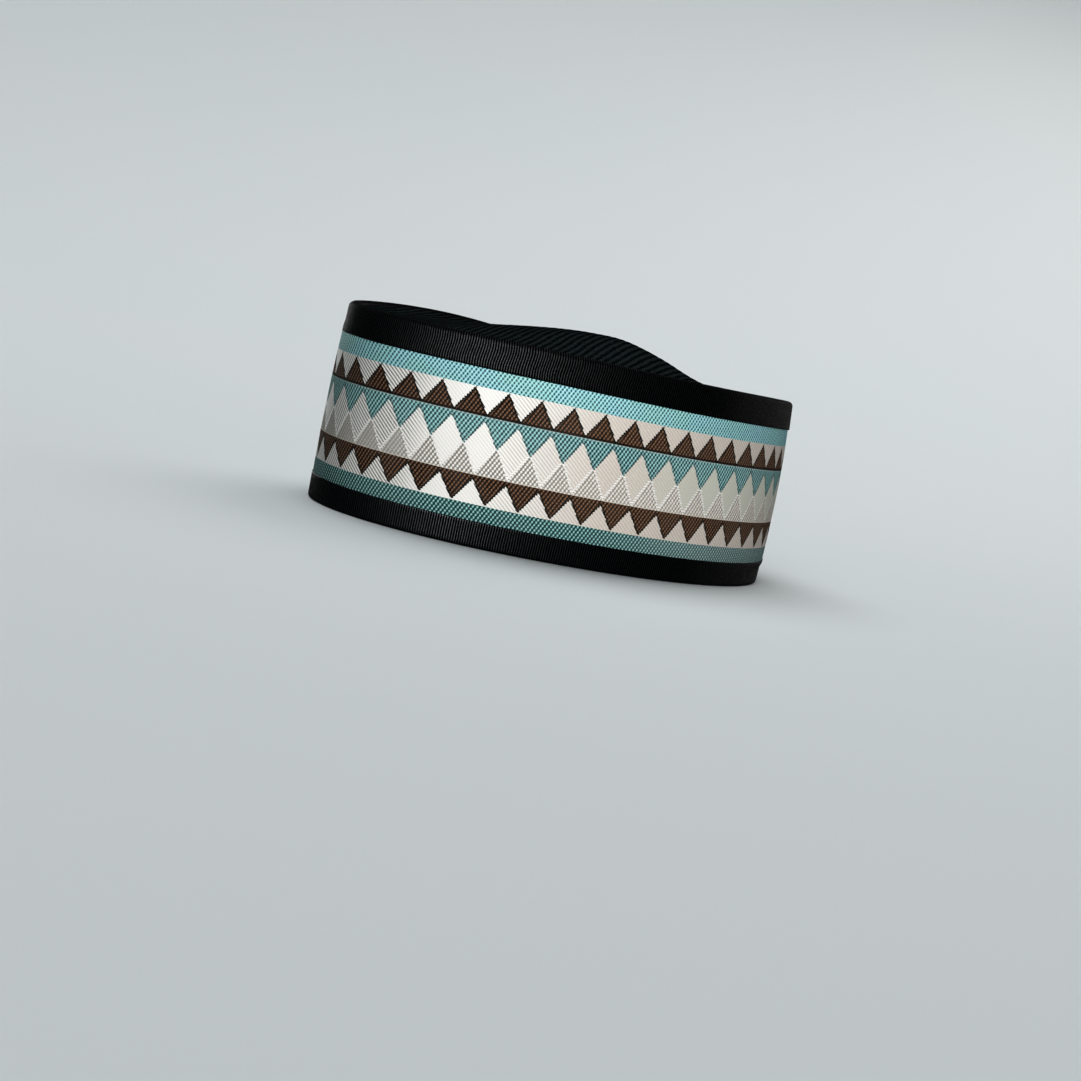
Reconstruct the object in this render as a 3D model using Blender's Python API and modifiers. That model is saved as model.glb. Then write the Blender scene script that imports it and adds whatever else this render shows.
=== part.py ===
# A brimless prayer cap: an upright wall of stiffened patterned cloth, bound at both edges with
# ribbed grosgrain, and a soft black crown that stands in a low dome above the rim.
# Metres, Z up. The forehead faces -Y, the wearer's left is +X, and the cap rests at Z = 0.

import math
from collections import namedtuple

import bmesh
import bpy
from mathutils import Vector

MM = 0.001

# Driving dimensions, over the outside of the wall
CAP_LENGTH = 214.8 * MM
CAP_WIDTH = 152.5 * MM
CAP_HEIGHT = 82 * MM
PLAN_EASE = 0.002  # how far the plan is drawn in between its four quarters, as a share

# Cloth
WALL_CLOTH = 2.5 * MM
BINDING_CLOTH = 1.0 * MM
CROWN_CLOTH = 1.2 * MM
GAP = 0.3 * MM

# Bindings: width up the wall, how far each stands out from the woven cloth, and the fold's radius
UPPER_BINDING = 12.3 * MM
LOWER_BINDING = 10.1 * MM
UPPER_PROUD = 0.4 * MM
LOWER_PROUD = 0.0 * MM
FOLD_RADIUS = 1.2 * MM

# The crown's dome above the rim
DOME_RISE = 9 * MM
DOME_SHIFT = 15 * MM  # from the middle of the cap towards the nape
DOME_REACH = 0.80  # share of the way from its peak to the rim
DOME_REACH_FRONT = 0.15  # how much further it reaches towards the forehead
DOME_SHARPNESS = 1.9
CROWN_VALLEY = 1.2 * MM  # dip between the rim and the dome

# Round the wall: how far it bulges at half height, and how far its rim leans out
Stance = namedtuple("Stance", "bulge lean")
FOREHEAD = Stance(bulge=0.8 * MM, lean=0.2 * MM)
SIDES = Stance(bulge=1.0 * MM, lean=0.8 * MM)
NAPE = Stance(bulge=1.6 * MM, lean=-4.3 * MM)

# The rim waves a little: the rise that each wave gives at the forehead and at the wearer's left
Wave = namedtuple("Wave", "times_round forehead left")
RIM_WAVES = (
    Wave(times_round=1, forehead=1.3 * MM, left=-0.8 * MM),
    Wave(times_round=2, forehead=-1.2 * MM, left=-1.1 * MM),
    Wave(times_round=3, forehead=-0.4 * MM, left=0.6 * MM),
)

# The crown's edge, from its sheet to the foot of its hem: inwards from the wall, and below the rim
EdgeRow = namedtuple("EdgeRow", "inset drop")
CROWN_EDGE = (
    EdgeRow(inset=6.2 * MM, drop=1.7 * MM),
    EdgeRow(inset=5.2 * MM, drop=2.1 * MM),
    EdgeRow(inset=4.7 * MM, drop=3.1 * MM),
    EdgeRow(inset=4.7 * MM, drop=8.1 * MM),
)

# Mesh density
AROUND = 80
WALL_ROWS = 5
FOLD_STEPS = 2
DOME_RINGS = 9
SPIN_RADIUS = 1.0  # a section is spun at this distance, and each point is then set on the plan


def round_the_wall(angle, forehead, sides, nape):
    """A value that changes smoothly from the forehead, at angle 0, by the sides to the nape."""
    ends = (forehead + nape) / 2
    return (
        (ends + sides) / 2
        + (forehead - nape) / 2 * math.cos(angle)
        + (ends - sides) / 2 * math.cos(2 * angle)
    )


def wall_shift(angle, up):
    """How far the bulge and the lean move the wall outwards at this height."""
    height = up / CAP_HEIGHT
    bulge = round_the_wall(angle, FOREHEAD.bulge, SIDES.bulge, NAPE.bulge)
    lean = round_the_wall(angle, FOREHEAD.lean, SIDES.lean, NAPE.lean)
    return bulge * math.sin(math.pi * height) + lean * (height - 0.5)


def rim_rise(angle):
    """How far the rim stands above its mean height."""
    return sum(
        wave.forehead * math.cos(wave.times_round * angle)
        + wave.left * math.sin(wave.times_round * angle)
        for wave in RIM_WAVES
    )


def plan_point(angle):
    """The wall's outside seen from above: an oval, eased in between its quarters."""
    half_length, half_width = CAP_LENGTH / 2, CAP_WIDTH / 2
    oval = half_length * half_width / math.hypot(
        half_width * math.cos(angle), half_length * math.sin(angle)
    )
    radius = oval * (1 - PLAN_EASE * (1 - math.cos(4 * angle)))
    return Vector((radius * math.sin(angle), -radius * math.cos(angle), 0))


def wall_point(angle, out, up):
    """A point that far outside the wall's face, or inside if out is negative, and that far up."""
    nudge = math.radians(0.5)
    along = plan_point(angle + nudge) - plan_point(angle - nudge)
    outwards = Vector((along.y, -along.x, 0)).normalized()
    point = plan_point(angle) + outwards * (out + wall_shift(angle, up))
    point.z = up + rim_rise(angle) * up / CAP_HEIGHT
    return point


def middle_shift():
    """Moves the box round the wall to the middle of the frame."""
    heights = [CAP_HEIGHT * step / 40 for step in range(41)]
    front = min(wall_point(0, 0, up).y for up in heights)
    back = max(wall_point(math.pi, 0, up).y for up in heights)
    return Vector((0, -(front + back) / 2, 0))


def fold_section(face, reach, top_edge):
    """A strip folded over an edge of the wall, as (out, up) points. face is its outer side."""
    back = -(WALL_CLOTH + GAP + BINDING_CLOTH)
    quarter = [math.pi / 2 * step / FOLD_STEPS for step in range(FOLD_STEPS + 1)]
    outer_fold = [
        (face - FOLD_RADIUS * (1 - math.cos(a)), FOLD_RADIUS * (1 - math.sin(a))) for a in quarter
    ]
    inner_fold = [
        (back + FOLD_RADIUS * (1 - math.cos(a)), FOLD_RADIUS * (1 - math.sin(a)))
        for a in reversed(quarter)
    ]
    outside = [(face, reach), (face, reach / 2), *outer_fold]
    inside = [*inner_fold, (back, reach / 2), (back, reach)]
    lining = [
        (back + BINDING_CLOTH, reach),
        (back + BINDING_CLOTH, reach / 2),
        (back + BINDING_CLOTH, BINDING_CLOTH),
        (face - BINDING_CLOTH, BINDING_CLOTH),
        (face - BINDING_CLOTH, reach / 2),
        (face - BINDING_CLOTH, reach),
    ]
    section = outside + inside + lining
    if top_edge:
        section = [(out, CAP_HEIGHT - up) for out, up in section]
    return section


def band_section():
    """The woven wall: its full thickness between the bindings, and a thinner tongue inside each."""
    foot = BINDING_CLOTH + GAP
    head = CAP_HEIGHT - foot
    low = LOWER_BINDING + GAP
    high = CAP_HEIGHT - UPPER_BINDING - GAP
    lower_tongue = LOWER_PROUD - BINDING_CLOTH - GAP
    upper_tongue = UPPER_PROUD - BINDING_CLOTH - GAP
    rows = [low + (high - low) * step / (WALL_ROWS - 1) for step in range(WALL_ROWS)]
    outside = [(lower_tongue, foot), (lower_tongue, low)]
    outside += [(0, up) for up in rows]
    outside += [(upper_tongue, high), (upper_tongue, head)]
    inside = [(-WALL_CLOTH, up) for up in [head, *reversed(rows), foot]]
    return outside + inside


def crown_point(angle, ring):
    """Ring 0 is the dome's peak, ring DOME_RINGS the edge of the sheet, and the rest are the hem."""
    edge = CROWN_EDGE[max(0, ring - DOME_RINGS)]
    rim = wall_point(angle, -edge.inset, CAP_HEIGHT) - Vector((0, 0, edge.drop))
    if ring >= DOME_RINGS:
        return rim
    share = ring / DOME_RINGS
    peak = Vector((0, DOME_SHIFT, 0))
    point = peak.lerp(Vector((rim.x, rim.y, 0)), share)
    reach = DOME_REACH + DOME_REACH_FRONT * math.cos(angle)
    swell = max(0, 1 - (share / reach) ** DOME_SHARPNESS) ** 2
    valley = CROWN_VALLEY * (1 - share**8)
    rise = (DOME_RISE + edge.drop + CROWN_VALLEY) * swell
    point.z = CAP_HEIGHT - edge.drop + rim_rise(angle) * share**2 - valley + rise
    return point


def angle_of(co):
    return math.atan2(co.x, -co.y)


def spun(points, closed):
    """A section in the XZ plane, spun a full turn."""
    bm = bmesh.new()
    verts = [bm.verts.new((x, 0, z)) for x, z in points]
    pairs = list(zip(verts, verts[1:]))
    if closed:
        pairs.append((verts[-1], verts[0]))
    edges = [bm.edges.new(pair) for pair in pairs]
    bmesh.ops.spin(
        bm, geom=verts + edges, axis=(0, 0, 1), cent=(0, 0, 0),
        angle=math.tau, steps=AROUND, use_merge=True,
    )
    bmesh.ops.remove_doubles(bm, verts=bm.verts, dist=0.01 * MM)
    return bm


def cloth_material(name, colour, roughness):
    material = bpy.data.materials.new(name)
    material.use_nodes = True
    shader = material.node_tree.nodes["Principled BSDF"]
    shader.inputs["Base Color"].default_value = (*colour, 1)
    shader.inputs["Roughness"].default_value = roughness
    shader.inputs["Metallic"].default_value = 0
    return material


def add_piece(name, bm, material, collection):
    bmesh.ops.recalc_face_normals(bm, faces=bm.faces)
    mesh = bpy.data.meshes.new(name)
    bm.to_mesh(mesh)
    bm.free()
    mesh.shade_smooth()
    mesh.set_sharp_from_angle(angle=math.radians(50))
    mesh.materials.append(material)
    piece = bpy.data.objects.new(name, mesh)
    collection.objects.link(piece)
    return piece


def add_ring(name, section, material, collection):
    """A strip of the wall that runs all the way round, from its section in (out, up) points."""
    bm = spun([(SPIN_RADIUS + out, up) for out, up in section], closed=True)
    middle = middle_shift()
    for vert in bm.verts:
        out = math.hypot(vert.co.x, vert.co.y) - SPIN_RADIUS
        vert.co = wall_point(angle_of(vert.co), out, vert.co.z) + middle
    return add_piece(name, bm, material, collection)


def add_crown(name, material, collection):
    """The soft top and its hem: a disc of rings, a unit apart, set on the dome and thickened."""
    last = DOME_RINGS + len(CROWN_EDGE) - 1
    bm = spun([(ring, 0) for ring in range(last + 1)], closed=False)
    middle = middle_shift()
    for vert in bm.verts:
        ring = round(math.hypot(vert.co.x, vert.co.y))
        vert.co = crown_point(angle_of(vert.co), ring) + middle
    crown = add_piece(name, bm, material, collection)
    cloth = crown.modifiers.new("cloth", "SOLIDIFY")
    cloth.thickness = CROWN_CLOTH
    cloth.offset = 0
    cloth.use_even_offset = True
    return crown


def clear_scene():
    for item in list(bpy.data.objects):
        bpy.data.objects.remove(item, do_unlink=True)


def main():
    clear_scene()
    cap = bpy.data.collections.new("prayer_cap")
    bpy.context.scene.collection.children.link(cap)
    woven = cloth_material("woven_band", (0.36, 0.40, 0.38), 0.85)
    grosgrain = cloth_material("grosgrain", (0.008, 0.009, 0.011), 0.7)
    crown_cloth = cloth_material("crown_cloth", (0.010, 0.011, 0.013), 0.8)

    add_ring("side_band", band_section(), woven, cap)
    upper = fold_section(UPPER_PROUD, UPPER_BINDING, top_edge=True)
    add_ring("upper_binding", upper, grosgrain, cap)
    lower = fold_section(LOWER_PROUD, LOWER_BINDING, top_edge=False)
    add_ring("lower_binding", lower, grosgrain, cap)
    add_crown("crown_top", crown_cloth, cap)


main()
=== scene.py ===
# A brimless prayer cap: a woven wall with triangles and diamonds, grosgrain bindings and a
# ribbed crown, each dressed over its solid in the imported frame. Metres, Z up, forehead at -Y.

import bisect
import math
from collections import namedtuple

import bmesh
import bpy
from mathutils import Matrix, Vector, noise


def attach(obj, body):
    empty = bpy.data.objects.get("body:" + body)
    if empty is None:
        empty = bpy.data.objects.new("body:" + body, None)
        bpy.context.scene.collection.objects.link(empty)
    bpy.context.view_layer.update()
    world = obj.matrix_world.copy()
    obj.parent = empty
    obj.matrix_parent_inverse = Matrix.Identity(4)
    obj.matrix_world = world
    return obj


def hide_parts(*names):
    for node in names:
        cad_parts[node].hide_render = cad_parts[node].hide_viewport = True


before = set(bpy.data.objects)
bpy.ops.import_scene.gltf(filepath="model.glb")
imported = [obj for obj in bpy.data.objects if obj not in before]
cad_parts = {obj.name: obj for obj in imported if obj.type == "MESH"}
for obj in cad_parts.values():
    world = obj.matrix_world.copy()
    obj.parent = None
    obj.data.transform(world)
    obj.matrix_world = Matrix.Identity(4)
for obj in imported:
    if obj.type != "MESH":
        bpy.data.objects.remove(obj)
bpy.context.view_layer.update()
mm = 0.001

# The form that every piece shares

cap = {
    "length": 214.8 * mm,
    "width": 152.5 * mm,
    "height": 82 * mm,
    "ease": 0.002,                 # how far the plan is drawn in between its quarters, as a share
    "foreheadBulge": 0.8 * mm, "sideBulge": 1.0 * mm, "napeBulge": 1.6 * mm,
    "foreheadLean": 0.2 * mm, "sideLean": 0.8 * mm, "napeLean": -4.3 * mm,
    # times round, then the rise at the forehead and at the wearer's left
    "rimWaves": ((1, 1.3 * mm, -0.8 * mm), (2, -1.2 * mm, -1.1 * mm), (3, -0.4 * mm, 0.6 * mm)),
    "upperBinding": 12.3 * mm,
    "lowerBinding": 10.5 * mm,
    "repeats": 44,                 # of the woven pattern, all the way round
    "patternStart": -20.15 * mm,   # where an apex falls, along the wall from the forehead
    "dents": 0.25 * mm,            # slow unevenness of the stiffened cloth
    "dentsAround": 26, "dentsUp": 30,                  # how many come in a metre, roughly
}


def fade(value, low, high):        # 0 below low, 1 above high, smooth between
    share = min(1, max(0, (value - low) / (high - low)))
    return share * share * (3 - 2 * share)


def roundTheWall(angle, forehead, sides, nape):        # changes smoothly from each to the next
    ends = (forehead + nape) / 2
    return ((ends + sides) / 2 + (forehead - nape) / 2 * math.cos(angle)
            + (ends - sides) / 2 * math.cos(2 * angle))


def planPoint(angle):              # the wall's outside seen from above, angle 0 at the forehead
    halfLength, halfWidth = cap["length"] / 2, cap["width"] / 2
    oval = halfLength * halfWidth / math.hypot(halfWidth * math.cos(angle),
                                               halfLength * math.sin(angle))
    radius = oval * (1 - cap["ease"] * (1 - math.cos(4 * angle)))
    return Vector((radius * math.sin(angle), -radius * math.cos(angle), 0))


def planDirections(angle):         # along the plan there, and out from it
    nudge = math.radians(0.5)
    along = (planPoint(angle + nudge) - planPoint(angle - nudge)).normalized()
    return along, Vector((along.y, -along.x, 0))


def rimRise(angle):                # above the rim's mean height
    return sum(front * math.cos(times * angle) + left * math.sin(times * angle)
               for times, front, left in cap["rimWaves"])


def bulgeAndLean(angle):
    return (roundTheWall(angle, cap["foreheadBulge"], cap["sideBulge"], cap["napeBulge"]),
            roundTheWall(angle, cap["foreheadLean"], cap["sideLean"], cap["napeLean"]))


def shiftOut(bulge, lean, up):     # how far the two move the wall outwards at this height
    height = up / cap["height"]
    return bulge * math.sin(math.pi * height) + lean * (height - 0.5)


def wallShift(angle, up):
    return shiftOut(*bulgeAndLean(angle), up)


def middleShift():                 # centres the wall's box, as the frame has it
    heights = [cap["height"] * step / 40 for step in range(41)]
    front = -cap["length"] / 2 - max(wallShift(0, up) for up in heights)
    back = cap["length"] / 2 + max(wallShift(math.pi, up) for up in heights)
    return Vector((0, -(front + back) / 2, 0))


def arcsAndAngles(count=1440):     # distance along the plan at each angle, 0 at the forehead
    angles = [math.tau * (step / count - 0.5) for step in range(count + 1)]
    arcs = [0]
    for first, second in zip(angles, angles[1:]):
        arcs.append(arcs[-1] + (planPoint(second) - planPoint(first)).length)
    return [arc - arcs[-1] / 2 for arc in arcs], angles


middle = middleShift()
arcs, angles = arcsAndAngles()
girth = arcs[-1] - arcs[0]
repeat = girth / cap["repeats"]

Spot = namedtuple("Spot", "plan along outwards bulge lean rise arc")


def spotAt(arc):                   # one upright line of the wall, arc metres from the forehead
    index = min(len(arcs) - 2, max(0, bisect.bisect_right(arcs, arc) - 1))
    share = (arc - arcs[index]) / (arcs[index + 1] - arcs[index])
    angle = angles[index] + share * (angles[index + 1] - angles[index])
    return Spot(planPoint(angle) + middle, *planDirections(angle), *bulgeAndLean(angle),
                rimRise(angle), arc)


def place(spot, out, up, sway=0):  # a point out from the wall's face, up it, and sway along it
    around, climb = cap["dentsAround"], cap["dentsUp"]
    dent = noise.noise(Vector((spot.plan.x * around, spot.plan.y * around, up * climb)))
    out += shiftOut(spot.bulge, spot.lean, up) + cap["dents"] * dent
    point = spot.plan + spot.outwards * out + spot.along * sway
    point.z = up + spot.rise * (up / cap["height"])
    return point


def ripple(x, y, height, often, seed):                 # slow unevenness, often in a metre
    return height * noise.noise(Vector((x * often, y * often, seed)))


print(f"form ready, {girth * 1000:.1f} mm round the plan")

# Shader numbers that join math nodes with Python's own arithmetic


class Number:
    def __init__(self, tree, socket):
        self.tree, self.socket = tree, socket

    def step(self, operation, *others):
        return mathStep(self.tree, operation, self, *others)

    def __add__(self, other): return self.step("ADD", other)
    def __radd__(self, other): return self.step("ADD", other)
    def __sub__(self, other): return self.step("SUBTRACT", other)
    def __rsub__(self, other): return mathStep(self.tree, "SUBTRACT", other, self)
    def __mul__(self, other): return self.step("MULTIPLY", other)
    def __rmul__(self, other): return self.step("MULTIPLY", other)
    def __abs__(self): return self.step("ABSOLUTE")
    def __lt__(self, other): return self.step("LESS_THAN", other)
    def __gt__(self, other): return self.step("GREATER_THAN", other)
    def floor(self): return self.step("FLOOR")
    def part(self): return self.step("FRACT")
    def sine(self): return self.step("SINE")
    def most(self, other): return self.step("MAXIMUM", other)

    def smooth(self, low, high):   # 0 at low, 1 at high
        node = self.tree.nodes.new("ShaderNodeMapRange")
        node.interpolation_type = "SMOOTHSTEP"
        feed(self.tree, node.inputs["Value"], self)
        node.inputs["From Min"].default_value, node.inputs["From Max"].default_value = low, high
        return Number(self.tree, node.outputs["Result"])


def feed(tree, socket, value):
    if isinstance(value, Number):
        tree.links.new(value.socket, socket)
    elif isinstance(value, bpy.types.NodeSocket):
        tree.links.new(value, socket)
    else:
        socket.default_value = value


def mathStep(tree, operation, *values):
    node = tree.nodes.new("ShaderNodeMath")
    node.operation = operation
    for socket, value in zip(node.inputs, values):
        feed(tree, socket, value)
    return Number(tree, node.outputs[0])


def blendColours(tree, share, first, second):
    node = tree.nodes.new("ShaderNodeMix")
    node.data_type = "RGBA"
    feed(tree, node.inputs["Factor"], share)
    for name, colour in (("A", first), ("B", second)):
        socket = next(s for s in node.inputs if s.name == name and s.type == "RGBA")
        feed(tree, socket, (*colour, 1) if isinstance(colour, tuple) else colour)
    return next(s for s in node.outputs if s.type == "RGBA")


def newGroup(name, inputs, outputs):
    tree = bpy.data.node_groups.new(name, "ShaderNodeTree")
    for label, start in inputs.items():
        kind = "NodeSocketVector" if isinstance(start, tuple) else "NodeSocketFloat"
        socket = tree.interface.new_socket(label, in_out="INPUT", socket_type=kind)
        socket.default_value = start
    for label in outputs:
        tree.interface.new_socket(label, in_out="OUTPUT", socket_type="NodeSocketFloat")
    return tree, tree.nodes.new("NodeGroupInput"), tree.nodes.new("NodeGroupOutput")


def useGroup(tree, group, **values):
    node = tree.nodes.new("ShaderNodeGroup")
    node.node_tree = group
    for label, value in values.items():
        feed(tree, node.inputs[label], value)
    return {socket.name: Number(tree, socket) for socket in node.outputs}


def threadGroup():                 # one woven cell: its own random number, and its roundness
    tree, given, made = newGroup("threads", {"Across": 0.0, "Along": 0.0}, ["Random", "Relief"])
    across, along = Number(tree, given.outputs["Across"]), Number(tree, given.outputs["Along"])
    cell = tree.nodes.new("ShaderNodeCombineXYZ")
    feed(tree, cell.inputs["X"], across.floor())
    feed(tree, cell.inputs["Y"], along.floor())
    whiteNoise = tree.nodes.new("ShaderNodeTexWhiteNoise")
    whiteNoise.noise_dimensions = "2D"
    tree.links.new(cell.outputs[0], whiteNoise.inputs["Vector"])
    x, y = across.part() - 0.5, along.part() - 0.5
    feed(tree, made.inputs["Random"], whiteNoise.outputs["Value"])
    feed(tree, made.inputs["Relief"], 1 - (x * x + y * y) * 2)
    return tree


def cloudGroup():                  # slow and fine unevenness of a cloth, both about 0.5
    inputs = {"Place": (0.0, 0.0, 0.0), "Slow": 30.0, "Fine": 1500.0}
    tree, given, made = newGroup("clothUnevenness", inputs, ["Slow", "Fine"])
    for label in ("Slow", "Fine"):
        cloud = tree.nodes.new("ShaderNodeTexNoise")
        cloud.inputs["Detail"].default_value = 2
        tree.links.new(given.outputs["Place"], cloud.inputs["Vector"])
        tree.links.new(given.outputs[label], cloud.inputs["Scale"])
        tree.links.new(cloud.outputs[0], made.inputs[label])
    return tree


threads, unevenness = threadGroup(), cloudGroup()


def newMaterial(name, **settings):  # with its node tree and its Principled shader
    material = bpy.data.materials.new(name)
    material.use_nodes = True
    tree = material.node_tree
    shader = tree.nodes["Principled BSDF"]
    for label, value in settings.items():
        shader.inputs[label.replace("_", " ")].default_value = value
    return material, tree, shader


def splitPlace(tree, place):       # the first two coordinates of a place
    split = tree.nodes.new("ShaderNodeSeparateXYZ")
    tree.links.new(place, split.inputs[0])
    return Number(tree, split.outputs["X"]), Number(tree, split.outputs["Y"])


def clothPlace(tree):              # metres round and up the cloth, from its own UV map
    source = tree.nodes.new("ShaderNodeUVMap")
    source.uv_map = "clothMetres"
    return splitPlace(tree, source.outputs[0])


def objectPlace(tree):
    return tree.nodes.new("ShaderNodeTexCoord").outputs["Object"]


def addBump(tree, shader, height, strength):           # height in metres
    bump = tree.nodes.new("ShaderNodeBump")
    bump.inputs["Strength"].default_value = strength
    bump.inputs["Distance"].default_value = 1.0
    feed(tree, bump.inputs["Height"], height)
    tree.links.new(bump.outputs["Normal"], shader.inputs["Normal"])


# Woven cloth of the wall

weave = {
    "columns": 48,                 # steps across one repeat
    "row": 0.3 * mm,
    # how often each slant of the threads comes in one repeat, and in a millimetre upwards
    "twill": (8, -0.31), "satin": (7, 0.63),
    "slowClouds": 55.0, "fineClouds": 1300.0,          # the unevenness, in a metre
    # heights up the wall of the pattern's lines
    "lowerTeal": 17.0 * mm,        # and the tips of the brown triangles that point down
    "lowerBrown": 26.4 * mm,       # their base, and the tips of the white between them
    "greyBase": 28.4 * mm,
    "greyTip": 39.9 * mm,
    "tealTip": 39.5 * mm,
    "tealFoot": 49.5 * mm,
    "brownBase": 51.45 * mm,
    "upperBrown": 52.4 * mm,
    "upperTeal": 62.4 * mm,        # and the tips of the brown triangles that point up
    "brownLine": 0.5 * mm,         # a pale thread under the upper brown's base
    "greyFoot": 0.4 * mm,          # and one along the foot of the grey
    "beadPitch": 1.05 * mm,
    "beadLength": 0.33,            # half of it, as a share of the pitch
    "beadTop": 0.6 * mm,           # how far the beads run on above the grey's tips
    # the columns lean at the forehead, by so many millimetres for the climb and for its cube
    "lean": (2.25, 2.75), "leanMiddle": 33 * mm, "leanReach": 30 * mm,
    "leanFrom": (-130 * mm, -40 * mm), "leanTo": (-12 * mm, 38 * mm),
    # distances from the forehead, in millimetres, between which painted light changes the cloth's
    # colour: painted shade, a painted highlight, painted warm bounce light, painted sheen and
    # painted glints
    "paintedShadeAhead": (28, 50), "facing": (34, 50), "facingEnd": (62, 84),
    "away": (66, 128), "paintedGlintZone": (98, 150), "paintedSheenBehind": (112, 175),
    "tealLight": (0.44, 0.79, 0.85), "tealGreen": (0.43, 0.80, 0.78),
    "tealDark": (0.020, 0.095, 0.115),
    "midLight": (0.40, 0.70, 0.69), "midDark": (0.016, 0.058, 0.068),
    "midEdge": (0.055, 0.080, 0.082),
    "lowLight": (0.375, 0.67, 0.635), "lowDark": (0.006, 0.046, 0.052),
    # painted sheen: the low teal grows paler towards the back
    "lowPaintedSheen": (0.46, 0.64, 0.63),
    "brownLight": (0.262, 0.150, 0.090), "brownDark": (0.0090, 0.0052, 0.0040),
    "brownEdge": (0.005, 0.008, 0.006),
    "white": (0.92, 0.915, 0.89), "whiteShade": (0.60, 0.585, 0.54),
    # the next two lines hold painted light: painted shade on the white at the forehead, painted
    # warm bounce light on the white and grey towards the back, and a painted silvery sheen on the
    # diamonds there
    "whitePaintedShade": (0.20, 0.205, 0.195), "whitePaintedWarmth": (0.54, 0.47, 0.41),
    "paintedWarmBounce": (0.60, 0.52, 0.44), "paintedSilverSheen": (0.64, 0.68, 0.60),
    "grey": (0.250, 0.243, 0.225), "greyLight": (0.94, 0.92, 0.87), "bead": (0.98, 0.97, 0.94),
    "line": (0.40, 0.49, 0.49), "greyLine": (0.72, 0.68, 0.60),
    "soil": (0.30, 0.28, 0.26),
    "lining": (0.020, 0.021, 0.023), "liningLight": (0.035, 0.036, 0.039),
}


def leanOfColumns(around, up):     # in metres: the cloth sits a little askew at the forehead
    climb = (up - weave["leanMiddle"]) * (1 / weave["leanReach"])
    near = (1 - around.smooth(*weave["leanTo"])) * around.smooth(*weave["leanFrom"])
    straight, cubed = weave["lean"]
    return (climb * straight + climb * climb * climb * cubed) * near * mm


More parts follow.
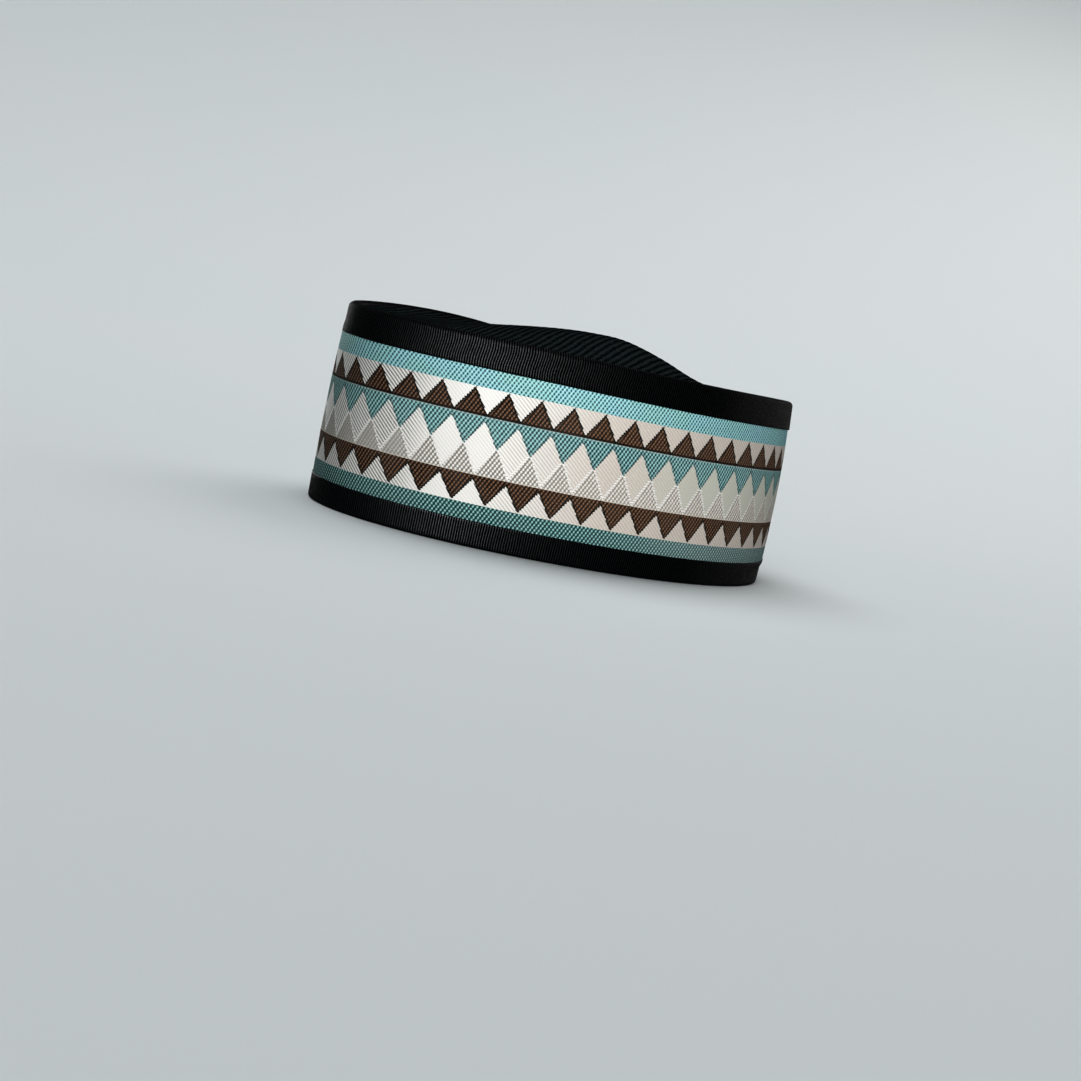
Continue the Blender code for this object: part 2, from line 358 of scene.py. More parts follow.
def wovenMaterial():
    material, tree, shader = newMaterial("wovenBand", Specular_IOR_Level=0.12,
                                         Coat_Roughness=0.40, Coat_IOR=1.45)
    blend = lambda share, first, second: blendColours(tree, share, first, second)
    around, up = clothPlace(tree)
    # painted light by the distance from the forehead: painted shade on the white at the forehead,
    # a painted highlight on it just beside, and towards the back painted warm bounce light,
    # painted sheen and painted glints
    aside = abs(around) * (1 / mm)
    paintedShadeAhead = 1 - aside.smooth(*weave["paintedShadeAhead"])
    facing = aside.smooth(*weave["facing"]) * (1 - aside.smooth(*weave["facingEnd"]))
    away, paintedSheenBehind = aside.smooth(*weave["away"]), aside.smooth(*weave["paintedSheenBehind"])
    paintedGlintZone = aside.smooth(*weave["paintedGlintZone"])
    around = around + leanOfColumns(around, up)
    across = (around - cap["patternStart"]) * (weave["columns"] / repeat)
    along = up * (1 / weave["row"])
    cell = useGroup(tree, threads, Across=across, Along=along)
    cloud = useGroup(tree, unevenness, Place=objectPlace(tree),
                     Slow=weave["slowClouds"], Fine=weave["fineClouds"])

    # the slanting edges are decided once for each step, so that they are stepped as woven ones are
    turn = ((across.floor() + 0.5) * (1 / weave["columns"])).part()
    reach = 1 - abs(2 * turn - 1)  # 0 on the line of the tips, 1 half-way between
    height = (along.floor() + 0.5) * weave["row"]
    wave = lambda turns, climb: ((around * (turns / repeat) + up * (climb / mm)) * math.tau).sine()
    twill, satin = wave(*weave["twill"]), wave(*weave["satin"])
    reach = reach + satin * 0.03 + twill * 0.015       # the threads fray the edges a little
    span = lambda low, high: (up > low) * (up < high)
    rising = lambda low, high: (height - low) * (1 / (high - low))
    lowerBrownEdge = rising(weave["lowerTeal"], weave["lowerBrown"])
    upperBrownEdge = 1 - rising(weave["upperBrown"], weave["upperTeal"])
    greyEdge = 1 - rising(weave["greyBase"], weave["greyTip"])
    tealEdge = rising(weave["tealTip"], weave["tealFoot"])
    lowerBrown = (reach < lowerBrownEdge) * span(weave["lowerTeal"], weave["greyBase"])
    upperBrown = (reach < upperBrownEdge) * span(weave["brownBase"], weave["upperTeal"])
    grey = (reach < greyEdge + 0.02) * span(weave["greyBase"], weave["greyTip"])
    midTeal = (reach < tealEdge) * span(weave["tealTip"], weave["brownBase"])
    lowTeal = up < weave["lowerTeal"]
    highTeal = up > weave["upperTeal"]
    brown = lowerBrown.most(upperBrown)

    # a darker thread follows the slanting edges, and pale beads those of the grey: their
    # near-white colour is a painted glint, over real coat gloss, and they widen into more painted
    # glints towards the back
    brownRim = lowerBrown * (reach > lowerBrownEdge - 0.12)
    brownRim = brownRim + upperBrown * (reach > upperBrownEdge - 0.12)
    tealRim = midTeal * (reach > tealEdge - 0.13) * (cell["Random"] > 0.35)
    bead = abs(reach - greyEdge - 0.06) < 0.065 + paintedGlintZone * 0.03
    bead = bead * span(weave["greyBase"], weave["greyTip"] + weave["beadTop"])
    bead = bead * (abs((up * (1 / weave["beadPitch"])).part() - 0.5) < weave["beadLength"])

    # each ground's own weave, as a share from its dark thread to its light one
    mixed = twill * 0.6 + satin * 0.4
    speckle = (cell["Random"] - 0.5) * 0.35 + (cloud["Fine"] - 0.5) * 1.2
    highTone = mixed.smooth(-0.75, 0.45) + speckle * 0.55
    lowTone = mixed.smooth(-0.28, 0.88) + speckle * 0.4
    # painted light: away from the forehead the mid teal darkens and then pales, the grey grows
    # paler and more speckled and the brown lighter; at the forehead the grey takes painted shade
    midTone = mixed.smooth(-0.52, 0.62) + speckle * 0.6 - away * 0.10 + paintedSheenBehind * 0.12
    greyTone = mixed.smooth(-0.30, 0.60) * (1 - 0.7 * paintedShadeAhead) + 0.2 * paintedShadeAhead
    greyTone = greyTone + speckle * (0.3 + away * 0.6) + paintedSheenBehind * 0.12
    # painted glints: pale specks on the grey towards the back
    paintedGlints = paintedGlintZone * mixed.smooth(-0.1, 0.5) * cloud["Fine"].smooth(0.42, 0.56)
    greyTone = greyTone + paintedGlints * (1.7 - greyEdge)
    brownTone = (twill * 0.66 + satin * 0.34).smooth(-0.15, 0.85) + speckle * 0.5 + away * 0.09
    brownTone = brownTone * (1 - upperBrown * (up < weave["upperBrown"]) * 0.85)
    # painted light: towards the back the white's stripes fade and it takes painted warm bounce
    # light, and just beside the forehead a painted highlight makes it nearly plain white
    stripes = satin.smooth(-0.85, 0.1) * (1 - away * 0.5) + away * 0.33
    # painted highlight: the white is nearly plain just beside the forehead
    whiteTone = stripes.most(facing * 0.9) + speckle * (0.12 + 0.3 * paintedShadeAhead + 0.45 * away)

    # the grounds laid over each other, from the white one up
    # the white's dark thread takes painted warm bounce light towards the back and painted shade at
    # the forehead
    whiteLow = blend(away, weave["whiteShade"], weave["whitePaintedWarmth"])
    whiteLow = blend(paintedShadeAhead, whiteLow, weave["whitePaintedShade"])
    colour = blend(whiteTone, whiteLow, blend(away * 0.55, weave["white"], weave["paintedWarmBounce"]))
    diamonds = span(weave["greyBase"], weave["brownBase"])
    # painted sheen: the diamonds grow silvery towards the back; the grey below also takes painted
    # warm bounce light there
    colour = blend(diamonds * paintedSheenBehind * 0.7, colour, weave["paintedSilverSheen"])
    greyCloth = blend(greyTone, weave["grey"], weave["greyLight"])
    colour = blend(grey, colour, blend(away * 0.25, greyCloth, weave["paintedWarmBounce"]))
    colour = blend(bead, colour, weave["bead"])
    colour = blend(midTeal, colour, blend(midTone, weave["midDark"], weave["midLight"]))
    colour = blend(tealRim * 0.6, colour, weave["midEdge"])
    # painted sheen: the low teal grows paler towards the back
    lowLight = blend(paintedSheenBehind, weave["lowLight"], weave["lowPaintedSheen"])
    lowDark = blend(paintedSheenBehind * 0.15, weave["lowDark"], weave["lowPaintedSheen"])
    colour = blend(lowTeal, colour, blend(lowTone, lowDark, lowLight))
    highLight = blend(cloud["Slow"].smooth(0.38, 0.62), weave["tealLight"], weave["tealGreen"])
    colour = blend(highTeal, colour, blend(highTone, weave["tealDark"], highLight))
    colour = blend(brown, colour, blend(brownTone, weave["brownDark"], weave["brownLight"]))
    colour = blend(brownRim * (0.95 - speckle * 0.4), colour, weave["brownEdge"])
    line = span(weave["brownBase"] - weave["brownLine"], weave["brownBase"])
    colour = blend(line * (0.5 + speckle * 0.6), colour, weave["line"])
    greyLine = grey * (up < weave["greyBase"] + weave["greyFoot"])
    colour = blend(greyLine * (0.5 + speckle), colour, weave["greyLine"])
    colour = blend(cloud["Slow"].smooth(0.35, 0.75) * 0.05, colour, weave["soil"])
    lining = blend(cell["Random"], weave["lining"], weave["liningLight"])
    colour = blend(up > cap["height"], colour, lining)     # the map runs on over the inside
    tree.links.new(colour, shader.inputs["Base Color"])

    ground = 1 - brown.most(grey).most(midTeal).most(lowTeal).most(highTeal)
    gloss = (ground * 0.45 + highTeal * 0.15).most(bead) * (0.75 + satin * 0.25)
    feed(tree, shader.inputs["Roughness"],
         0.80 - ground * 0.20 - bead * 0.2 + cloud["Fine"] * 0.08)
    feed(tree, shader.inputs["Coat Weight"], gloss)
    relief = (1 - ground) * mixed * 0.05 * mm + ground * satin * 0.035 * mm
    relief = relief + brown * twill * 0.03 * mm
    relief = relief + cell["Relief"] * 0.02 * mm + bead * 0.10 * mm + cloud["Fine"] * 0.02 * mm
    addBump(tree, shader, relief, 0.9)
    return material


print("weave ready")

# Rings: a section in (out, up, relief) rows, spun all the way round and set on the wall

Row = namedtuple("Row", "out up relief")


def spunRing(name, section, steps, shape, material, start=0):
    bm = bmesh.new()
    rowLayer = bm.verts.layers.int.new("row")
    verts = [bm.verts.new((1 + row.out, 0, row.up)) for row in section]
    for index, vert in enumerate(verts):
        vert[rowLayer] = index
    edges = [bm.edges.new(pair) for pair in zip(verts, verts[1:] + verts[:1])]
    sector = math.tau / cap["repeats"]                 # one repeat is spun, and then copied round
    bmesh.ops.spin(bm, geom=verts + edges, axis=(0, 0, 1), cent=(0, 0, 0),
                   angle=sector, steps=steps // cap["repeats"])
    bmesh.ops.spin(bm, geom=bm.verts[:] + bm.edges[:] + bm.faces[:], axis=(0, 0, 1),
                   cent=(0, 0, 0), angle=math.tau - sector, steps=cap["repeats"] - 1,
                   use_duplicate=True)
    bmesh.ops.remove_doubles(bm, verts=bm.verts, dist=0.01 * mm)
    lengths = [start]
    for first, second in zip(section, section[1:] + section[:1]):
        lengths.append(lengths[-1] + math.hypot(second.out - first.out, second.up - first.up))
    spots = [spotAt(girth * (step / steps - 0.5)) for step in range(steps)]
    stepOf = {vert: round(math.atan2(vert.co.y, vert.co.x) / math.tau * steps) % steps
              for vert in bm.verts}
    uv = bm.loops.layers.uv.new("clothMetres")
    for face in bm.faces:
        wraps = any(stepOf[vert] == steps - 1 for vert in face.verts)
        closes = any(vert[rowLayer] == len(section) - 1 for vert in face.verts)
        for loop in face.loops:
            step, row = stepOf[loop.vert], loop.vert[rowLayer]
            step = steps if wraps and step == 0 else step
            row = len(section) if closes and row == 0 else row
            loop[uv].uv = (girth * (step / steps - 0.5), lengths[row])
    for vert in bm.verts:
        step = stepOf[vert]
        vert.co = shape(spots[step], section[vert[rowLayer]], step)
    bmesh.ops.recalc_face_normals(bm, faces=bm.faces)
    return addPiece(name, bm, material)


def plainShape(spot, row, step):   # a ring that follows the wall as it is
    return place(spot, row.out, row.up)


def addObject(name, bm, material):
    mesh = bpy.data.meshes.new(name)
    bm.to_mesh(mesh)
    bm.free()
    mesh.shade_smooth()
    mesh.materials.append(material)
    item = bpy.data.objects.new(name, mesh)
    bpy.context.scene.collection.objects.link(item)
    return item


def addPiece(name, bm, material):
    piece = addObject(name, bm, material)
    piece.data.set_sharp_from_angle(angle=math.radians(60))
    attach(piece, "root")
    return piece


# The wall

wall = {
    "thickness": 2.5 * mm,
    "steps": 528,
    "rows": 14,
    "innerEvery": 3,               # the inside has a row for every third of these
    "tuck": 7 * mm,                # how far the cloth runs on inside each binding, and sinks there
    "sink": 2.0 * mm,
    "overlap": 0.2 * mm,
}


def wallSection():
    low = cap["lowerBinding"] - wall["tuck"]
    high = cap["height"] - cap["upperBinding"] + wall["tuck"]
    foot, head = low + wall["tuck"] - wall["overlap"], high - wall["tuck"] + wall["overlap"]
    ups = [foot + (head - foot) * step / (wall["rows"] - 1) for step in range(wall["rows"])]
    outside = [Row(-wall["sink"], low, 0), *(Row(0, up, 1) for up in ups),
               Row(-wall["sink"], high, 0)]
    inside = [Row(-wall["thickness"], up, 0)
              for up in (high, *reversed(ups[::wall["innerEvery"]]), low)]
    slant = math.hypot(wall["sink"], foot - low) - (foot - low)
    return outside + inside, low, high, low - slant    # the last makes the map read heights


wallRows, wallFoot, wallHead, wallStart = wallSection()
wovenWall = spunRing("wovenWall", wallRows, wall["steps"], plainShape, wovenMaterial(),
                     start=wallStart)
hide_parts("side_band")
print("woven wall ready,", len(wovenWall.data.polygons), "faces")

# Grosgrain bindings, folded over the wall's two edges

grosgrain = {
    "ribs": 572,                   # all the way round, 13 to a repeat
    "perRib": 5,                   # steps across one rib
    "profile": (0.0, 0.82, 1.0, 1.0, 0.82),
    "rib": 0.23 * mm,              # how far a rib stands out of its grooves
    "leaf": 0.5 * mm,
    "upperProud": 0.45 * mm, "lowerProud": 0.30 * mm,
    "back": -3.7 * mm,             # the inner leaf's face, from the wall's
    "between": -1.6 * mm,          # half-way from one leaf to the other
    "outerLeaf": -1 * mm,          # the outer leaf is what lies further out than this
    "upperFold": 1.9 * mm, "lowerFold": 1.2 * mm,
    "foldSteps": 5, "outerRows": 11, "innerRows": 3,
    "edgeIn": 0.15 * mm, "edgeDown": 0.12 * mm,        # the slant of the outer leaf's edge
    "outerLoss": 0.55, "innerLoss": 0.85,              # of the ribs' height, on the fold
    "hollow": 0.9 * mm,            # under the fold
    # both sway along the wall on their way up: how far, how many ripples in a metre, with two
    # numbers for round and up on the lower one, and a seed
    "upperSway": (0.25 * mm, 120, 7), "lowerSway": (0.18 * mm, 90, 150, 11),
    # and the upper one in waves too: how far, radians in a metre, and how much they stray
    "waves": 0.32 * mm, "waveTurn": 480, "waveDrift": 1.4, "driftOften": 40,
    # the upper one lies smooth and close to the wall at the forehead, and stands out at the nape
    "flatMiddle": -22 * mm, "flatSmooth": (24 * mm, 44 * mm), "flatClose": (20 * mm, 34 * mm),
    "close": 0.65 * mm, "lessClose": 0.3 * mm, "nearEdge": (7.5 * mm, 10.5 * mm),
    "smoothNape": (0.40, 0.47),    # from the forehead, as shares of the girth: the nape is 0.5
    "standsOut": 0.4 * mm, "outNape": (0.38, 0.46),
    # the lower one draws in under the nape
    "drawnIn": 0.9 * mm, "inNape": (0.36, 0.45), "inBelow": (7 * mm, 9.4 * mm),
    # where both are drawn smooth over the edge and crease level
    "drawnFrom": (-62 * mm, -46 * mm), "drawnTo": (-14 * mm, 5 * mm), "drawnNape": (0.285, 0.33),
    "creasePitch": 1.7 * mm, "creases": 0.14 * mm,
    "threadsPerRib": 4, "threadRow": 0.26 * mm,
    "slowClouds": 45.0, "fineClouds": 3200.0,          # in a metre
    # the second colour serves random thread tone and painted light on the rib crests
    "black": (0.0002, 0.0003, 0.0004), "threadToneAndCrestLight": (0.0010, 0.0014, 0.0016),
}


def bindingSection(width, proud, fold):
    # from the outer leaf's edge over the fold to the inner leaf's edge, then back along the lining
    back, leaf, rows = grosgrain["back"], grosgrain["leaf"], grosgrain["outerRows"]
    top = width - grosgrain["edgeDown"]
    corner = leaf + grosgrain["hollow"]
    turn = [math.pi / 2 * step / grosgrain["foldSteps"]
            for step in range(grosgrain["foldSteps"] + 1)]
    section = [Row(proud - leaf, width, 0), Row(proud - grosgrain["edgeIn"], width, 0)]
    section += [Row(proud, top - (top - fold) * step / rows, 1) for step in range(rows)]
    section += [Row(proud - fold * (1 - math.cos(a)), fold * (1 - math.sin(a)),
                    1 - grosgrain["outerLoss"] * math.sin(a)) for a in turn]
    section += [Row(back + fold * (1 - math.cos(a)), fold * (1 - math.sin(a)),
                    1 - grosgrain["innerLoss"] * math.sin(a)) for a in reversed(turn)]
    section += [Row(back, fold + (width - fold) * step / grosgrain["innerRows"], 1)
                for step in range(1, grosgrain["innerRows"] + 1)]
    section += [Row(back + leaf, width, 0), Row(back + leaf, corner, 0),
                Row(proud - leaf, corner, 0)]
    return section


def ribbedOut(row, step, share=1):  # each leaf's ribs stand away from the other leaf
    away = math.copysign(1, row.out - grosgrain["between"])
    height = grosgrain["profile"][step % grosgrain["perRib"]] - 1
    return row.out + away * grosgrain["rib"] * (row.relief * share) * height


def bindingPlace(spot, row, out, settle, sway):        # settle moves the outer leaf alone
    if row.out > grosgrain["outerLeaf"]:
        out -= settle
    return place(spot, out, row.up, sway * row.relief)


def upperShape(spot, row, step):
    depth = cap["height"] - row.up                     # below the rim
    wayRound = abs(spot.arc) / girth
    fromFlat = abs(spot.arc - grosgrain["flatMiddle"])
    smooth = fade(wayRound, *grosgrain["smoothNape"])
    smooth += 1 - fade(fromFlat, *grosgrain["flatSmooth"])
    drift = noise.noise(Vector((spot.arc * grosgrain["driftOften"], 3, 0)))
    turn = depth * grosgrain["waveTurn"] + grosgrain["waveDrift"] * drift
    sway = grosgrain["waves"] * math.sin(turn)
    sway += ripple(spot.arc, depth, *grosgrain["upperSway"])
    settle = grosgrain["close"] - grosgrain["lessClose"] * fade(depth, *grosgrain["nearEdge"])
    settle *= 1 - fade(fromFlat, *grosgrain["flatClose"])
    settle -= grosgrain["standsOut"] * fade(wayRound, *grosgrain["outNape"])
    return bindingPlace(spot, row, ribbedOut(row, step, 1 - smooth), settle, sway)


def lowerShape(spot, row, step):
    far, around, climb, seed = grosgrain["lowerSway"]
    sway = far * noise.noise(Vector((spot.arc * around, row.up * climb, seed)))
    settle = grosgrain["drawnIn"] * fade(abs(spot.arc) / girth, *grosgrain["inNape"])
    settle *= 1 - fade(row.up, *grosgrain["inBelow"])
    return bindingPlace(spot, row, ribbedOut(row, step), settle, sway)


def grosgrainMaterial():
    material, tree, shader = newMaterial("grosgrainBlack", Specular_IOR_Level=0.0,
                                         Coat_Roughness=0.44, Coat_IOR=1.5)
    around, up = clothPlace(tree)
    perMetre = grosgrain["ribs"] / girth
    cell = useGroup(tree, threads, Across=around * (grosgrain["threadsPerRib"] * perMetre),
                    Along=up * (1 / grosgrain["threadRow"]))
    cloud = useGroup(tree, unevenness, Place=objectPlace(tree),
                     Slow=grosgrain["slowClouds"], Fine=grosgrain["fineClouds"])
    rib = (around * perMetre).part()
    crest = (1 - abs(rib * 2 - 1)).smooth(0.45, 1.0)
    forehead = around.smooth(*grosgrain["drawnFrom"]) * (1 - around.smooth(*grosgrain["drawnTo"]))
    nape = (abs(around) * (1 / girth)).smooth(*grosgrain["drawnNape"])
    drawn = forehead.most(nape)
    crest = crest * (1 - drawn * 0.85) + drawn * 0.45
    # painted light: the rib crests take a lighter colour and the grooves stay dark as painted
    # shade, evened out where the ribs are drawn smooth; the rest is random thread tone
    tone = crest * 0.6 + (cell["Random"] - 0.5) * 0.35 + (cloud["Slow"] - 0.5) * 0.2
    colour = blendColours(tree, tone, grosgrain["black"], grosgrain["threadToneAndCrestLight"])
    tree.links.new(colour, shader.inputs["Base Color"])
    feed(tree, shader.inputs["Roughness"], 0.70 - crest * 0.10 + cloud["Fine"] * 0.10)
    gloss = crest * (0.24 + cell["Random"] * 0.74)     # only the crests shine
    feed(tree, shader.inputs["Coat Weight"], gloss)
    level = up * (1 / grosgrain["creasePitch"]) + cloud["Slow"] * 1.5
    creases = (level * math.tau).sine() * drawn * grosgrain["creases"]
    relief = cell["Relief"] * 0.018 * mm + cloud["Fine"] * 0.012 * mm + creases
    addBump(tree, shader, relief, 0.8)
    return material


blackGrosgrain = grosgrainMaterial()
ribSteps = grosgrain["ribs"] * grosgrain["perRib"]
upperRows = [Row(row.out, cap["height"] - row.up, row.relief)
             for row in bindingSection(cap["upperBinding"], grosgrain["upperProud"],
                                       grosgrain["upperFold"])]
lowerRows = bindingSection(cap["lowerBinding"], grosgrain["lowerProud"], grosgrain["lowerFold"])
upperGrosgrain = spunRing("upperGrosgrain", upperRows, ribSteps, upperShape, blackGrosgrain)
lowerGrosgrain = spunRing("lowerGrosgrain", lowerRows, ribSteps, lowerShape, blackGrosgrain)
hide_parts("upper_binding")
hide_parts("lower_binding")
print("bindings ready,", len(upperGrosgrain.data.polygons), "and",
      len(lowerGrosgrain.data.polygons), "faces")

# The ribbed crown: a panel cut to the rim, raised into its dome, and the hem that it hangs by

crown = {
    "rise": 9 * mm, "shift": 15 * mm, "reach": 0.80, "reachFront": 0.15, "sharpness": 1.9,
    "valley": 1.2 * mm,
    "inset": 6.2 * mm, "drop": 1.7 * mm,               # the sheet's edge, in the frame
    "cut": 4.3 * mm,                                   # from the wall's face to the panel's edge
    "cuts": 96,                                        # straight ones that follow the rim
    "ribPitch": 2.95 * mm, "ribs": 0.33 * mm,
    "heading": 131.0,                                  # of the ribs, from +X towards +Y
    # how far a rib strays sideways, how much its height varies as a share, and the lumps of
    # the cloth, each with the number of ripples in a metre and a seed
    "drift": (0.5 * mm, 30, 2), "uneven": (0.9, 160, 4),
    "lumps": ((0.45 * mm, 34, 5), (0.2 * mm, 90, 8)),
    "halfAcross": 86 * mm, "halfAlong": 104 * mm,      # of the cloth before it is cut
    "acrossStep": 0.42 * mm, "alongStep": 3 * mm,
    "cloth": 0.9 * mm,
    "lift": 0.55 * mm,                                 # of its face over the cloth's middle
    "threadAcross": 0.4 * mm, "threadAlong": 0.45 * mm,
    "slowClouds": 420.0, "fineClouds": 2200.0,         # in a metre
    # the second colour serves random thread tone and painted light on the cords' crests
    "black": (0.0006, 0.0011, 0.0013), "threadToneAndCrestLight": (0.0118, 0.0165, 0.0170),
}


def rimTable(count=720):           # bearing, angle and distance of the sheet's edge from the peak
    rows = []
    for step in range(count):
        angle = math.tau * (step / count - 0.5)
        _, outwards = planDirections(angle)
        edge = planPoint(angle) + outwards * (wallShift(angle, cap["height"]) - crown["inset"])
        ray = edge - Vector((0, crown["shift"], 0))
        rows.append((math.atan2(ray.x, -ray.y), angle, ray.length))
    return sorted(rows)


rimRows = rimTable()
bearings = [row[0] for row in rimRows]


def domeHeight(x, y):
    ray = Vector((x, y, 0)) - middle - Vector((0, crown["shift"], 0))
    bearing = math.atan2(ray.x, -ray.y)
    index = bisect.bisect_right(bearings, bearing) % len(bearings)
    _, angle, distance = rimRows[index]
    share = ray.length / distance
    reach = crown["reach"] + crown["reachFront"] * math.cos(angle)
    swell = max(0, 1 - (share / reach) ** crown["sharpness"]) ** 2
    valley = crown["valley"] * (1 - min(1, share) ** 8)
    rise = (crown["rise"] + crown["drop"] + crown["valley"]) * swell
    return cap["height"] - crown["drop"] + rimRise(angle) * share ** 2 - valley + rise


def crownMaterial():
    material, tree, shader = newMaterial("crownBlack", Specular_IOR_Level=0.0,
                                         Coat_Roughness=0.62, Coat_IOR=1.5)
    turned = tree.nodes.new("ShaderNodeMapping")
    turned.inputs["Rotation"].default_value = (0, 0, -math.radians(crown["heading"] - 90))
    tree.links.new(objectPlace(tree), turned.inputs["Vector"])
    across, along = splitPlace(tree, turned.outputs[0])
    cell = useGroup(tree, threads, Across=across * (1 / crown["threadAcross"]),
                    Along=along * (1 / crown["threadAlong"]))
    cloud = useGroup(tree, unevenness, Place=objectPlace(tree),
                     Slow=crown["slowClouds"], Fine=crown["fineClouds"])
    crest = 1 - abs((across * (1 / crown["ribPitch"])).part() * 2 - 1)
    crest = crest + (cloud["Slow"] - 0.5) * 0.9
    # partly random thread tone, partly painted light: the cords' crests lighter and painted shade
    # in the grooves
    tone = crest.smooth(0.15, 0.80) * 0.7 + (cell["Random"] - 0.5) * 0.8
    colour = blendColours(tree, tone, crown["black"], crown["threadToneAndCrestLight"])
    tree.links.new(colour, shader.inputs["Base Color"])
    feed(tree, shader.inputs["Roughness"], 0.82 - crest * 0.10 + cloud["Fine"] * 0.08)
    gloss = crest.smooth(0.2, 0.85) * (0.04 + cell["Random"] * 0.14)
    feed(tree, shader.inputs["Coat Weight"], gloss)
    relief = cell["Relief"] * 0.05 * mm + cell["Random"] * 0.02 * mm + cloud["Fine"] * 0.03 * mm
    addBump(tree, shader, relief, 0.8)
    return material


def crownPanelMesh():
    # the grid is turned so that its own Y runs along the ribs
    turned = Matrix.Rotation(math.radians(crown["heading"] - 90), 4, "Z")
    halfAcross, halfAlong = crown["halfAcross"], crown["halfAlong"]
    bm = bmesh.new()
    bmesh.ops.create_grid(bm, x_segments=round(2 * halfAcross / crown["acrossStep"]),
                          y_segments=round(2 * halfAlong / crown["alongStep"]), size=1)
    bmesh.ops.scale(bm, vec=(halfAcross, halfAlong, 1), verts=bm.verts)
    bmesh.ops.transform(bm, matrix=turned, verts=bm.verts)
    for step in range(crown["cuts"]):
        angle = math.tau * step / crown["cuts"]
        _, outwards = planDirections(angle)
        inwards = crown["cut"] - wallShift(angle, cap["height"])
        edge = planPoint(angle) + middle - outwards * inwards
        bmesh.ops.bisect_plane(bm, geom=bm.verts[:] + bm.edges[:] + bm.faces[:], dist=0.01 * mm,
                               plane_co=edge, plane_no=outwards, clear_outer=True)
    back = turned.inverted()
    for vert in bm.verts:
        x, y = vert.co.x, vert.co.y
        local = back @ vert.co
        ribShare = ((local.x + ripple(x, y, *crown["drift"])) / crown["ribPitch"]) % 1
        # each rib has a round back, with a narrow dip between two
        cord = math.sqrt(max(0, 1 - (2 * ribShare - 1) ** 2)) - 0.8
        cord *= 0.75 + ripple(x, y, *crown["uneven"])
        lumps = sum(ripple(x, y, *lump) for lump in crown["lumps"])
        vert.co.z = domeHeight(x, y) + crown["lift"] + crown["ribs"] * cord + lumps
    return bm


crownBlack = crownMaterial()
crownPanel = addPiece("crownPanel", crownPanelMesh(), crownBlack)
clothOfCrown = crownPanel.modifiers.new("cloth", "SOLIDIFY")
clothOfCrown.thickness, clothOfCrown.offset = crown["cloth"], -1

hem = {
    "outer": -4.0 * mm, "inner": -5.3 * mm,            # its faces, from the wall's
    "top": 1.8 * mm, "foot": 8.1 * mm,                 # below the rim
    "steps": 264,
}

hemCorners = (("outer", "foot"), ("outer", "top"), ("inner", "top"), ("inner", "foot"))
hemRows = [Row(hem[side], cap["height"] - hem[edge], 0) for side, edge in hemCorners]
crownHem = spunRing("crownHem", hemRows, hem["steps"], plainShape, crownBlack)
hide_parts("crown_top")
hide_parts("crown_top")
print("crown ready,", len(crownPanel.data.polygons), "faces before its thickness")

# The wall's cloth round, with 6 mm for its seam, and up: worked out here and not kept

girth + 6 * mm
wallHead - wallFoot

# Floor, lights and camera

studio = {
    "floor": (0.70, 0.735, 0.745), "floorWarm": (0.73, 0.745, 0.745),
    # the backdrop: a round bowl with a cove, off the cap's middle and turned by so many degrees
    "near": -5.0, "far": 0.5, "cove": 2.6, "wallTop": 5.0, "turned": 54.5,
    "coveSteps": 24, "bowlSteps": 96,
    "world": (0.96, 0.99, 1.0), "worldStrength": 0.145,
    "contrast": 0.85,              # gamma of the picture, below 1 for deeper blacks
    "camera": Vector((683.06, -486.85, 97.09)) * mm,
    "aim": Vector((0.59, 0.56, -1.33)) * mm,
    "roll": 12.94,                 # degrees, the cap's top leans to the right
    "lens": 64.51, "sensor": 36,   # the picture is square
    "lampAim": (0, 0, 0.04),
}


def stageMaterial():
    material, tree, shader = newMaterial("paleBackdrop", Specular_IOR_Level=0.2)
    cloud = useGroup(tree, unevenness, Place=objectPlace(tree), Slow=1.5, Fine=400.0)
    colour = blendColours(tree, cloud["Slow"], studio["floor"], studio["floorWarm"])
    tree.links.new(colour, shader.inputs["Base Color"])
    feed(tree, shader.inputs["Roughness"], 0.85 + cloud["Fine"] * 0.1)
    return material


def backdropMesh():                # a seamless bowl: the floor, a wide cove and the wall all round
    bm = bmesh.new()
    cove, steps = studio["cove"], studio["coveSteps"]
    reach, centre = (studio["far"] - studio["near"]) / 2, (studio["far"] + studio["near"]) / 2
    line = [(0, 0)] + [(reach + cove * math.sin(a), cove * (1 - math.cos(a)))
                       for a in (math.pi / 2 * step / steps for step in range(steps + 1))]
    line.append((reach + cove, studio["wallTop"]))
    verts = [bm.verts.new((0, centre + out, up)) for out, up in line]
    edges = [bm.edges.new(pair) for pair in zip(verts, verts[1:])]
    bmesh.ops.spin(bm, geom=verts + edges, axis=(0, 0, 1), cent=(0, centre, 0),
                   angle=math.tau, steps=studio["bowlSteps"], use_merge=True)
    bmesh.ops.remove_doubles(bm, verts=bm.verts, dist=mm)
    facing = Matrix.Rotation(math.radians(studio["turned"]), 4, "Z")
    bmesh.ops.transform(bm, matrix=facing, verts=bm.verts)
    bmesh.ops.recalc_face_normals(bm, faces=bm.faces)
    return bm


backdrop = addObject("backdrop", backdropMesh(), stageMaterial())
backdrop.visible_diffuse = False   # its own brightness doesn't light the cap
backdrop.visible_glossy = False


def addSoftLight(name, place, size, power, colour, lit=()):
    light = bpy.data.lights.new(name, "AREA")
    light.shape, light.size, light.energy, light.color = "DISK", size, power, colour
    lamp = bpy.data.objects.new(name, light)
    lamp.visible_camera = False
    if lit:                        # the lamp lights these alone
        lamp.light_linking.receiver_collection = bpy.data.collections.new(name + "Lights")
        for item in lit:
            lamp.light_linking.receiver_collection.objects.link(item)
    lamp.location = place
    ray = Vector(studio["lampAim"]) - Vector(place)
    lamp.rotation_euler = ray.to_track_quat("-Z", "Y").to_euler()
    bpy.context.scene.collection.objects.link(lamp)


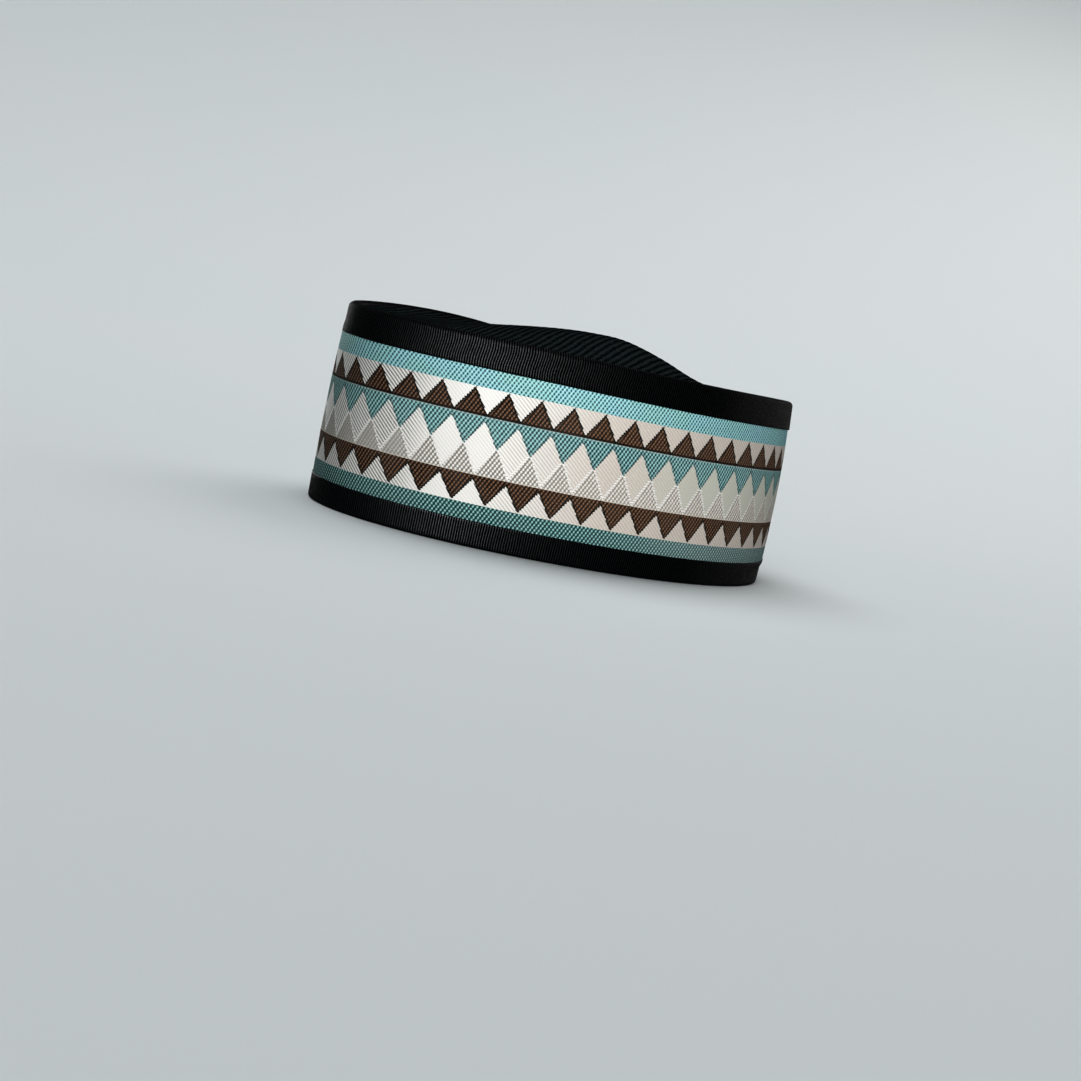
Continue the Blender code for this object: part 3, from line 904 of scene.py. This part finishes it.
# name, place, width across, power in watts, colour and what it lights
addSoftLight("nearLight", (0.385, -0.205, 0.16), 0.24, 1.50, (1.0, 0.995, 0.985), [wovenWall])
addSoftLight("upperLight", (0.312, -0.320, 0.12), 0.46, 4.7, (0.93, 0.98, 1.0), [upperGrosgrain])
addSoftLight("lowerLight", (0.310, -0.325, 0.08), 0.24, 4.6, (0.92, 0.98, 1.0), [lowerGrosgrain])
addSoftLight("foldLight", (0.25, -0.20, 0.85), 0.35, 0.9, (0.95, 0.98, 1.0), [upperGrosgrain])
addSoftLight("crownLight", (0.40, -0.19, 0.12), 0.26, 8.0, (0.93, 1.0, 1.0),
             [crownPanel, crownHem])
addSoftLight("frontLight", (-1.18, -0.12, 0.30), 0.9, 7.5, (0.95, 1.0, 0.97), [wovenWall])
addSoftLight("frontRimLight", (-1.19, 0.16, 0.12), 0.50, 1.7, (1.0, 1.0, 1.0),
             [upperGrosgrain])
addSoftLight("frontFootLight", (-1.19, 0.16, 0.12), 0.50, 11.0, (1.0, 1.0, 1.0),
             [lowerGrosgrain])
addSoftLight("backEdgeLight", (-0.20, 1.30, 0.25), 1.0, 3.4, (1.0, 0.99, 0.97),
             [upperGrosgrain, lowerGrosgrain])
addSoftLight("backLight", (0.33, 1.20, 0.50), 0.8, 2.6, (1.0, 0.98, 0.95), [wovenWall])
addSoftLight("topLight", (-0.5, 0.5, 2.4), 2.0, 9, (0.97, 0.985, 1.0))
addSoftLight("floorLight", (-0.8, -0.4, 2.6), 2.4, 35, (0.94, 0.98, 1.0), [backdrop])
addSoftLight("farFloorLight", (2.3, -2.6, 3.2), 3.0, 45, (0.94, 0.98, 1.0), [backdrop])
addSoftLight("wallLight", (-0.6, 1.6, 1.6), 1.6, 14, (1.0, 0.985, 0.96), [backdrop])

world = bpy.data.worlds.new("studioAir")
world.use_nodes = True
air = world.node_tree.nodes["Background"]
air.inputs["Color"].default_value = (*studio["world"], 1)
air.inputs["Strength"].default_value = studio["worldStrength"]
bpy.context.scene.world = world
bpy.context.scene.view_settings.view_transform = "Standard"
bpy.context.scene.view_settings.gamma = studio["contrast"]

camera = bpy.data.objects.new("camera", bpy.data.cameras.new("camera"))
camera.data.lens, camera.data.sensor_width = studio["lens"], studio["sensor"]
camera.data.clip_start, camera.data.clip_end = 0.01, 100
camera.location = studio["camera"]
aiming = (studio["aim"] - studio["camera"]).to_track_quat("-Z", "Y").to_matrix()
rolled = Matrix.Rotation(math.radians(studio["roll"]), 3, "Z")
camera.rotation_euler = (aiming @ rolled).to_euler()
bpy.context.scene.collection.objects.link(camera)
bpy.context.scene.camera = camera
print("studio ready")
